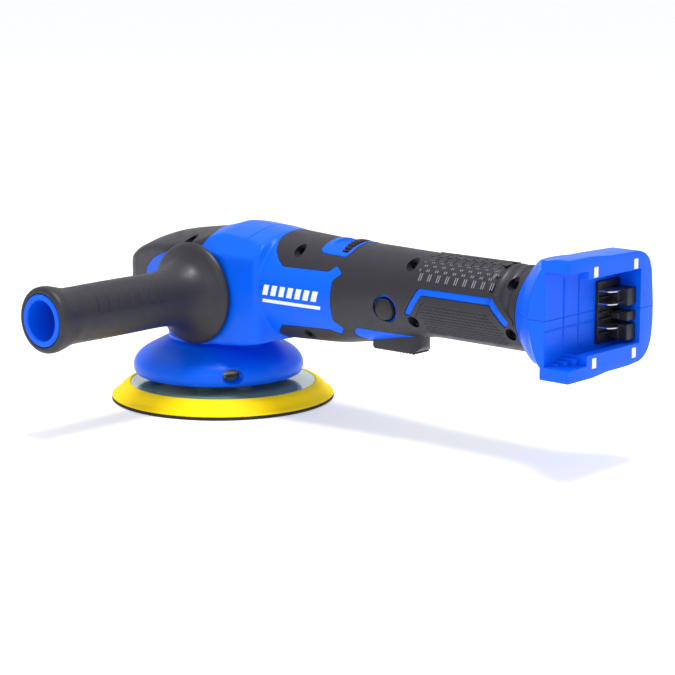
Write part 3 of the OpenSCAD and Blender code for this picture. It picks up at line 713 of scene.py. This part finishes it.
def make_covers():
    """The two soft covers of the barrel and the grip, with raised borders, textures and lined recesses."""
    raised = carved(body_surface(-0.55, 1.5, 160), ("INTERSECT", side_tool(BORDER, 0, 2.5)))
    layer = carved(copied(full_body), ("UNION", raised),
                   ("INTERSECT", block((COVER_START + 0.2, -60, 30), (GRIP_END - 0.3, 60, 150))),
                   ("DIFFERENCE", body_surface(COVER_T + 0.05, 2, 160)))
    layer = carved(layer, ("DIFFERENCE", side_tool(PANEL, GROOVE)), ("DIFFERENCE", side_tool(STRIPE, GROOVE)),
                   ("DIFFERENCE", side_tool(ACCENT, GROOVE)), ("DIFFERENCE", trigger_slot()),
                   ("DIFFERENCE", prism(grown(dial_outline(), GROOVE), 90, 140, "z")),
                   ("DIFFERENCE", prism(circle(8.5, (BUTTON[0] + 1.0, BUTTON[2] + 0.2)), -REACH, -10, "y")))
    for side, name in ((-1, "overmould_left"), (1, "overmould_right")):
        cover = carved(copied(layer), ("INTERSECT", half_tool(side)))
        liners = carved(recess_tools(side, LINER_R - 0.05), ("INTERSECT", copied(full_body)),
                        ("INTERSECT", block((COVER_START + 0.3, -60, 30), (GRIP_END, 60, 150))))
        cover = carved(cover, ("UNION", liners), ("DIFFERENCE", recess_tools(side, RECESS_R)))
        texture = carved(joined("texture", grip_texture(side) + ripple_field(side)),
                         ("INTERSECT", half_tool(side)))
        cover = carved(cover, ("UNION", texture))
        finished(cover, name, "tool", "black_cover", black, name)
        # Painted highlight: the tops of the dashes and bars get the lighter grey.
        paint_dash_highlights(cover)
    bpy.data.objects.remove(layer)


def make_palm_grip():
    """The soft cover of the nose, with a lined screw recess in each side."""
    cover = carved(copied(full_body), ("INTERSECT", side_tool(PALM)),
                   ("DIFFERENCE", body_surface(COVER_T + 0.05, 2, 160)))
    for side in (-1, 1):
        for x, z, floor in SCREWS[-2:]:
            rod = prism(circle(LINER_R - 0.05, (x, z), 40), *sorted((side * floor, side * REACH)), "y")
            liner = carved(rod, ("INTERSECT", copied(full_body)))
            cover = carved(cover, ("UNION", liner))
        cover = carved(cover, ("DIFFERENCE", recess_tools(side, RECESS_R)))
    finished(cover, "palm_grip", "tool", "black_cover", black, "palm_grip")


# ---------- speed dial ----------

def dial_outline():
    low, high = span("dial_bezel")
    return rounded(box_outline((low[0], low[1]), (high[0] - 3, high[1])), 4.5, 6)


def make_dial_bezel():
    """The blue frame: a long slope down to the wheel from the front, and a steep wall behind it."""
    low, high = span("dial_bezel")
    top = high[2]
    frame_form = carved(prism(dial_outline(), 101, top + 3, "z"), ("INTERSECT", body_surface(-0.35, 1, 200)),
                        ("DIFFERENCE", body_surface(4, 3, 120)))
    scoop_side = [(low[0] + 2.5, top + 4), (low[0] + 3.5, top - 1.6), (DIAL_LOW[0] - 1.5, top - 7.5),
                  (DIAL_HIGH[0] + 1.2, top - 7.5), (DIAL_HIGH[0] + 3.2, top + 4)]
    scoop = carved(prism(rounded(scoop_side, 1.5), -17.5, 17.5, "y"),
                   ("DIFFERENCE", body_surface(3.2, 2, 160)))
    frame_form = carved(frame_form, ("DIFFERENCE", scoop), ("DIFFERENCE", dial_wheel_space(0.7)))
    finished(frame_form, "dial_bezel", "tool", "blue_shell", blue, "dial_bezel")


def make_speed_dial():
    """A thumb wheel with rounded teeth and a number-free face."""
    teeth, columns = 44, 44 * 8
    a = np.arange(columns) * 2 * math.pi / columns
    scallop = 0.9 * np.clip(np.cos(a * teeth) * 1.4, -1, 0.35)
    rim = DIAL_R - 0.35 + np.minimum(scallop, 0.3)
    place = along_x(DIAL[1], DIAL[2])
    rows = []
    for radius, x in ((0, 0), (5, 0), (6, 0.8), (14, 0.8), (15, 0), (rim - 1, 0), (rim, 0.8), (rim, 5.2),
                      (rim - 1, 6), (15, 6), (14, 5.2), (6, 5.2), (5, 6), (0, 6)):
        r = radius * np.ones(columns)
        rows.append(place(r * np.cos(a), r * np.sin(a), np.full(columns, DIAL_LOW[0] + x)))
    shaft_hole = prism(circle(3.02, (DIAL[1], DIAL[2])), 100, 140, "x")
    wheel = carved(skin("wheel", rows), ("DIFFERENCE", shaft_hole))
    finished(wheel, "speed_dial", "speed_wheel", "black_plastic", dark, "speed_dial")


# ---------- trigger and lock button ----------

def make_trigger():
    """The paddle: a block with a round rear end, fine ridges under it and a post for its spring."""
    low, high = TRIGGER_LOW, TRIGGER_HIGH
    side = rounded([(low[0], high[2] - 6), (low[0], low[2]), (high[0] - 4, low[2] + 0.4),
                    (high[0], low[2] + 4.5), (high[0], high[2] - 6)], 2.6, 6)
    paddle = prism(side, low[1] + 0.05, high[1] - 0.05, "y", 1.3)
    round_end = [(high[0] - TRIGGER_END_R * (1 - math.cos(a)), TRIGGER_END_R * math.sin(a))
                 for a in np.radians(np.arange(-80, 81, 5))]
    plan = [(low[0] - 5, round_end[0][1])] + round_end + [(low[0] - 5, round_end[-1][1])]
    paddle = carved(paddle, ("INTERSECT", prism(plan, 40, 90, "z")))
    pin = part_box("trigger_pin")
    pin_x, pin_z = (pin[0][0] + pin[1][0]) / 2 / MM, (pin[0][2] + pin[1][2]) / 2 / MM
    post = prism(circle(1.2, (span("trigger_spring")[0][0] + 3.4, 0), 32), high[2] - 8, high[2], "z")
    ridges = [prism(circle(0.55, (low[0] + 8 + 2.6 * i, low[2] + 0.25), 20), -7.5, 7.5, "y")
              for i in range(10)]
    paddle = carved(paddle, ("UNION", post), ("UNION", joined("ridges", ridges)),
                    ("DIFFERENCE", prism(circle(1.55, (pin_x, pin_z), 40), -20, 20, "y")))
    finished(paddle, "trigger", "trigger_lever", "black_plastic", dark, "trigger")


def make_lock_button():
    """The round button with a domed face, its flange and its stem."""
    face = BUTTON_LOW[1]

    def place(across, up, height):
        return np.stack([BUTTON[0] + across, height, BUTTON[2] + up], axis=1)

    profile = [(0, face + 0.1), (3.5, face + 0.2), (5.6, face + 0.5), (6.5, face + 1.0), (6.95, face + 1.9),
               (6.95, -17.1), (8, -17), (8, -15.7), (2.5, -15.65), (2.5, -12.05), (0, -12.05)]
    button = turned(profile, place, columns=72)
    finished(button, "lock_button", "lock_on_button", "black_plastic", dark, "lock_button")


# ---------- shroud and pad ----------

def make_shroud():
    """The blue skirt, with one round tunnel into its side."""
    outer = curve_through([(33.3, 41.4), (36.2, 40.3), (40.5, 38.1), (46.9, 34.8), (51.6, 31.9), (54.8, 28.9),
                           (56.8, 25.4), (57.35, 22), (56.9, 19.3), (56.1, 17.9)], 6)
    inner = [(53.6, 17.5), (54.4, 19), (54.8, 21.4), (54.5, 24), (53.3, 26.6), (51, 29), (45, 32.6),
             (34, 38), (27.6, 38)]
    profile = [(27.6, 43.9), (33, 43.9), (33.3, 43.5)] + list(outer)
    profile += [(55.6, 17.35), (54.8, 17.2), (54, 17.25)]
    skirt = turned(profile + inner, upright(0), ring=True, columns=160)
    tunnel = math.radians(-36)
    ahead = np.array([math.cos(tunnel), math.sin(tunnel), 0])
    beside = np.array([-math.sin(tunnel), math.cos(tunnel), 0])

    def place(across, up, height):
        return (np.outer(height, ahead) + np.outer(1.3 * across, beside)
                + np.stack([np.zeros_like(up), np.zeros_like(up), 24 + up], axis=1))

    wall = turned([(0, 46), (6.1, 46), (6.1, 54.5), (0, 54.5)], place, columns=48)
    bore = turned([(0, 40), (4.7, 40), (4.7, 53.6), (5.1, 54.6), (6.6, 62), (0, 62)], place, columns=48)
    skirt = carved(skirt, ("UNION", wall), ("DIFFERENCE", bore))
    for a in (45, 135, 225, 315):
        at = (SCREW_RING * math.cos(math.radians(a)), SCREW_RING * math.sin(math.radians(a)))
        skirt = carved(skirt, ("DIFFERENCE", prism(circle(1.8, at, 24), 30, 50, "z")))
    finished(skirt, "shroud", "tool", "blue_shell", blue, "shroud")


def make_pad():
    """The glossy disc, the moulded foam with its soft rim, and the hook layer under it."""
    disc_high = span("backing_disc")[1]
    foam_high = span("foam_ring")[1]
    disc_r, disc_top, hub_top = 62.4, 11.0, disc_high[2]
    profile = [(4.02, 5), (18, 5), (18, 8.55), (disc_r - 0.3, 8.55), (disc_r, 8.9), (disc_r, 10.7),
               (disc_r - 0.3, disc_top), (21, disc_top), (18.6, disc_top + 0.6), (17.6, disc_top + 2),
               (17, hub_top - 0.5), (16.5, hub_top), (4.02, hub_top)]
    disc = turned(profile, upright(PAD[0]), ring=True, columns=160)
    finished(disc, "backing_disc", "pad", "disc_resin", resin, "backing_disc")

    rim_r = PAD_R - 11.5
    slope = curve_through([(rim_r + 0.9, foam_high[2] - 0.15), (rim_r + 4, foam_high[2] - 2.1),
                           (PAD_R - 4, 5.4), (PAD_R - 1.1, 3.6)], 5)
    profile = [(18.4, HOOK_T + 0.1), (PAD_R - 0.7, HOOK_T + 0.1), (PAD_R - 0.15, HOOK_T + 0.35),
               (PAD_R - 0.2, HOOK_T + 0.9)]
    profile += [tuple(p) for p in slope[::-1]]
    profile += [(rim_r + 0.2, foam_high[2]), (disc_r + 0.35, foam_high[2] - 0.1),
                (disc_r + 0.05, foam_high[2] - 0.5), (disc_r + 0.05, 8.5), (18.4, 8.5)]
    ring = turned(profile, upright(PAD[0]), ring=True, columns=200)
    finished(ring, "foam_ring", "pad", "yellow_foam", foam, "foam_ring")

    profile = [(3.2, 0.05), (PAD_R - 0.6, 0.05), (PAD_R - 0.05, 0.5), (PAD_R - 0.05, HOOK_T - 0.3),
               (PAD_R - 0.4, HOOK_T), (3.2, HOOK_T)]
    layer = turned(profile, upright(PAD[0]), ring=True, columns=200)
    finished(layer, "hook_face", "pad", "hook_fabric", hooks, "hook_face")


# ---------- side handle ----------

def make_handle():
    """The rubber grip with its bell-shaped guard, and the hollow blue core inside it."""
    end = HANDLE_LEN - 0.5
    bell = curve_through([(32.9, 2.9), (31.2, 4.6), (27.6, 7.2), (23.6, 11), (20.7, 16), (18.9, 22),
                          (18.1, 29), (17.8, 40), (17.9, 60), (17.9, 82), (17.7, end - 24), (18.2, end - 17),
                          (19.6, end - 11.5), (20.7, end - 7)], 6)
    lip = curve_through([(20.9, end - 4.6), (20.6, end - 2), (19.4, end - 0.4), (18.2, end)], 4)
    profile = [(8.6, 0.1), (33.0, 0.1), (33.5, 0.5), (33.6, 1.4), (33.3, 2.2)] + list(bell) + list(lip)
    profile += [(17.0, end - 0.3), (16.45, end - 1.2), (16.45, 8), (8.6, 8)]
    grip = turned(profile, handle_place, ring=True, columns=144)
    raised_radius = 18.35
    band = [(17.2, 38), (raised_radius, 38), (raised_radius, 104), (17.2, 104)]
    centre_z = HANDLE[2] + 8.7
    bars = []
    for i in range(7):
        start = HANDLE_TOP - 40 - 8.6 * i
        bar = [(start, centre_z + 5.2), (start - 4.4, centre_z + 5.2), (start - 6.6, centre_z - 5.2),
               (start - 2.2, centre_z - 5.2)]
        bars.append(prism(rounded(bar, 0.5, 3), HANDLE[0] + 2, HANDLE[0] + 30, "x"))
    raised = carved(turned(band, handle_place, ring=True, columns=144), ("INTERSECT", joined("bars", bars)))
    grip = carved(grip, ("UNION", raised))
    finished(grip, "handle_grip", "tool", "black_cover", black, "handle_grip", "handle_guard")

    profile = [(8.5, 0.1), (8.5, 8), (16.4, 8), (16.4, end - 0.2), (15.9, end + 0.4),
               (13.2, end + 0.4), (12.6, end - 0.3), (12.3, 44),
               (5, 44), (5, 36), (7.5, 35.9), (7.5, 30), (4.02, 29.9), (4.02, 0.1)]
    core = turned(profile, handle_place, ring=True, columns=120)
    finished(core, "handle_sleeve", "tool", "blue_shell", blue, "handle_sleeve")


# ---------- battery receptacle ----------

def receptacle_outline():
    """Seen from the rear, as (y, z): square at the open side and round at the closed side."""
    side, top, low = 42.8, REC_HIGH[2], REC_LOW[2]
    square = [(-side, low), (-side, top), (-21, top), (0, top - 1.6)]
    round_top = [(side - 15, top - 2.3), (side - 9, top - 4.4), (side - 4.6, top - 8.2),
                 (side - 2.2, top - 14.5)]
    flank = [(side - 0.9, top - 26), (side, 95), (side, 84), (side - 1.6, low + 13.6)]
    round_low = [(side - 4.3, low + 8.2), (side - 8, low + 4.6), (side - 13, low + 2.6), (18, low + 1.5),
                 (-3, low + 1.4), (-18, low)]
    return square + round_top + flank + round_low


def receptacle_body():
    """The outer block and the flared neck that widens from the grip to it, before they are hollowed."""
    rear, start, floor = REC_HIGH[0], 298.3, TERMINAL_LOW[0]
    flare = [(268, GRIP_R, 91.3), (269.8, 27.6, 91.6), (273.6, 31, 92.2), (277.3, 34.6, 92.8),
             (283, 38.8, 93.8), (290, 42.9, 94.8), (294.8, 48, 95.4), (298.2, 51.1, 95.7), (300, 51.1, 95.7)]
    rows = []
    for x, radius, centre_z in curve_through(flare, 4):
        rows.append(placed(circle(radius, (0, centre_z), 160), x, "x"))
    side = -REC_LOW[1]
    plate = rounded([(-side, 67.6), (-18, 64.6), (18, 64.6), (side, 67.6), (side, 123.6),
                     (-side, 123.6)], 1.5, 3)
    neck = carved(skin("flare", rows), ("INTERSECT", prism(plate, 250, start + 1.5, "x")))
    outline = rounded(receptacle_outline(), 1.6, 4)
    side_form = [(260, 40), (rear + 5, 40), (rear + 5, 140), (rear - 3, 140), (rear - 3, REC_HIGH[2]),
                 (rear - 9, REC_HIGH[2] - 0.1), (floor + 1, REC_HIGH[2] - 1.6), (260, REC_HIGH[2] - 1.7)]
    main = carved(prism(outline, start, rear, "x", 0.6), ("INTERSECT", prism(side_form, -REACH, REACH, "y")))
    return carved(main, ("UNION", neck))


def receptacle_hollow():
    """The battery's space: a deep opening at the free side, and lips with grooves behind them."""
    floor, rear = TERMINAL_LOW[0], REC_HIGH[0]
    far = TERMINAL_HIGH[1]
    return [block((floor, -REACH, 74), (rear + 5, far, 118)),
            block((floor, -REACH, 69.5), (rear - 7, far, 122.5)),
            block((floor, -REACH, 68), (rear + 5, -24, 122.8))]


def rail_steps():
    """Small steps that close the ends of both rails."""
    floor = TERMINAL_LOW[0]
    steps = []
    for i, y in enumerate((-36, -31.5, -27.5, -24)):
        rise = 1.1 + 1.35 * i
        steps.append(block((floor - 0.5, y, 66), (floor + 4 + 3.4 * i, y + 3.2, 68 + rise), 0.3))
        steps.append(block((floor - 0.5, y, 122.8 - 0.5 * rise), (floor + 4 + 3.4 * i, y + 3.2, 125), 0.3))
    return joined("steps", steps)


def make_receptacle():
    """The two halves of the receptacle, its terminal block, blades and pads."""
    floor, rear = TERMINAL_LOW[0], REC_HIGH[0]
    body = receptacle_body()
    for space in receptacle_hollow():
        body = carved(body, ("DIFFERENCE", space))
    tail = prism(circle(20.6, (0, MOTOR_Z + GRIP_RISE)), 260, 284, "x")
    ribs = [block((floor - 0.5, y, 75), (floor + 0.5, y + 0.9, 117)) for y in (-24.6, -10)]
    ribs.append(block((floor - 0.5, -42, 88), (floor + 0.35, 6.5, 88.8)))
    pad_places = [(y, z) for y in (-18.8, 21.5) for z in (65.5, 118.2)]
    pockets = [block((rear - 0.7, y, z), (rear + 2, y + 4.5, z + 6.4)) for y, z in pad_places]
    seat = block((floor - 1, TERMINAL_LOW[1] - 0.1, 74.1), (floor + 0.6, TERMINAL_HIGH[1] + 0.1, 111.3))
    body = carved(body, ("DIFFERENCE", tail), ("UNION", rail_steps()), *[("UNION", rib) for rib in ribs],
                  ("DIFFERENCE", joined("pockets", pockets)), ("DIFFERENCE", seat))
    for name, low, high in (("receptacle_upper", REC_SPLIT + SEAM, 200),
                            ("receptacle_lower", 0, REC_SPLIT - SEAM)):
        part = carved(copied(body), ("INTERSECT", block((200, -90, low), (400, 90, high))))
        finished(part, name, "tool", "blue_shell", blue, name)
    bpy.data.objects.remove(body)
    make_terminals(floor)
    pads = [block((rear - 0.6, y + 0.15, z + 0.15), (rear, y + 4.35, z + 6.25), 0.2)
            for y, z in pad_places]
    finished(joined("felt_pads", pads), "felt_pads", "tool", "felt", felt, "felt_pads")


def make_terminals(floor):
    """The black block with its plate, stepped guides and ribs, and the three contact blades."""
    low_y, high_y = TERMINAL_LOW[1], TERMINAL_HIGH[1]
    base = block((floor - 0.9, low_y, 74.2), (floor + 2, high_y, 111.2), 0.3)
    guides = []
    for z, height in ((76, 9.5), (87.7, 5.3), (96.8, 10)):
        guides.append(block((floor + 1, 20, z), (floor + 13.6, high_y - 0.1, z + height), 0.4))
        guides.append(block((floor + 1, 17.6, z + 0.8), (floor + 9, 20.4, z + height - 0.8), 0.3))
    for z in (80.4, 88.5, 92.6, 101.4):
        guides.append(block((floor + 1, low_y + 0.6, z), (floor + 4.2, 18, z + 0.9), 0.25))
    base = carved(base, *[("UNION", guide) for guide in guides])
    finished(base, "terminal_block", "tool", "black_plastic", dark, "terminal_block")

    blade = [(low_y + 0.2, floor + 1.5), (low_y + 0.2, floor + 8.4), (low_y + 1.2, floor + 9.6),
             (12.2, floor + 11.6), (19.9, floor + 9.4), (19.9, floor + 1.5)]
    outline = [(x, y) for y, x in blade]
    blades = [prism(outline, z, z + 0.8, "z", 0.15) for z in (84, 98, 105.5)]
    finished(joined("contact_blades", blades), "contact_blades", "tool", "steel", steel, "contact_blades")


# ---------- printed mark ----------

def make_side_mark():
    """A plain printed row of slanted bars over a thin line on the left panel, in place of any lettering."""
    bars = []
    for i in range(7):
        x = 74.5 + 6.6 * i
        bars.append([(x, 82.4), (x + 4.2, 82.4), (x + 6, 89), (x + 1.8, 89)])
    bars.append([(74, 77.6), (121, 77.6), (121.6, 79.8), (74.6, 79.8)])
    tools = joined("bars", [prism(bar, -REACH, -20, "y") for bar in bars])
    layer = carved(body_surface(-0.06, 1, 240), ("DIFFERENCE", body_surface(0.3, 1, 240)),
                   ("INTERSECT", tools))
    layer.name = "side_mark"
    finished(layer, "side_mark", "tool", "felt", white_print)


# ---------- stage ----------

CAMERA_PLACE = (1.0027, -1.0095, 0.3217)
CAMERA_AIM = (0.10746, 0, 0.05356)
CAMERA_LENS = 114.36
FLOOR_R = 30000


def make_floor():
    """A plain pale floor, far wider than the view."""
    a = np.arange(96) * 2 * math.pi / 96
    rows = [np.stack([r * np.cos(a), r * np.sin(a), np.full(96, z)], axis=1)
            for r, z in ((0, -0.05), (FLOOR_R, -0.05), (FLOOR_R, -20), (0, -20))]
    floor = skin("floor", rows)
    pale = surface("floor", (0.93, 0.93, 0.935, 1), 0.7, mottle=0.004, grain=60, depth=0.02, shine=0.1)
    glow = pale.node_tree.nodes["Principled BSDF"].inputs
    glow["Emission Color"].default_value = (1, 1, 1, 1)
    glow["Emission Strength"].default_value = 0.25
    floor.data.materials.append(pale)


def make_light(name, place, target, size, power):
    lamp = bpy.data.lights.new(name, "AREA")
    lamp.shape, lamp.size, lamp.energy = "DISK", size, power
    holder = bpy.data.objects.new(name, lamp)
    bpy.context.scene.collection.objects.link(holder)
    holder.location = place
    holder.rotation_euler = (Vector(target) - Vector(place)).to_track_quat("-Z", "Y").to_euler()


def make_stage():
    make_floor()
    scene = bpy.context.scene
    scene.view_settings.view_transform = "Standard"
    world = bpy.data.worlds.new("studio")
    scene.world = world
    world.use_nodes = True
    sky = world.node_tree.nodes["Background"]
    sky.inputs["Color"].default_value = (0.97, 0.98, 1.0, 1)
    sky.inputs["Strength"].default_value = 0.8
    centre = (cad_box[0] + cad_box[1]) / 2
    make_light("top", (0.3, -0.1, 1.4), centre, 0.5, 16)
    make_light("key", (0.9, -1.5, 0.9), centre, 0.5, 4)
    camera = bpy.data.objects.new("camera", bpy.data.cameras.new("camera"))
    scene.collection.objects.link(camera)
    camera.location = CAMERA_PLACE
    aim = Vector(CAMERA_AIM) - camera.location
    camera.rotation_euler = aim.to_track_quat("-Z", "Y").to_euler()
    camera.data.lens = CAMERA_LENS
    camera.data.sensor_width = 36
    camera.data.clip_start = 0.05
    camera.data.clip_end = 100
    scene.camera = camera


# ---------- everything ----------

full_body = body_surface(0, 1, 256, ribbed=True)
make_housing()
make_covers()
make_palm_grip()
make_dial_bezel()
make_speed_dial()
make_trigger()
make_lock_button()
make_shroud()
make_pad()
make_handle()
make_receptacle()
make_side_mark()
bpy.data.objects.remove(full_body)
dress_kept_nodes()
make_stage()
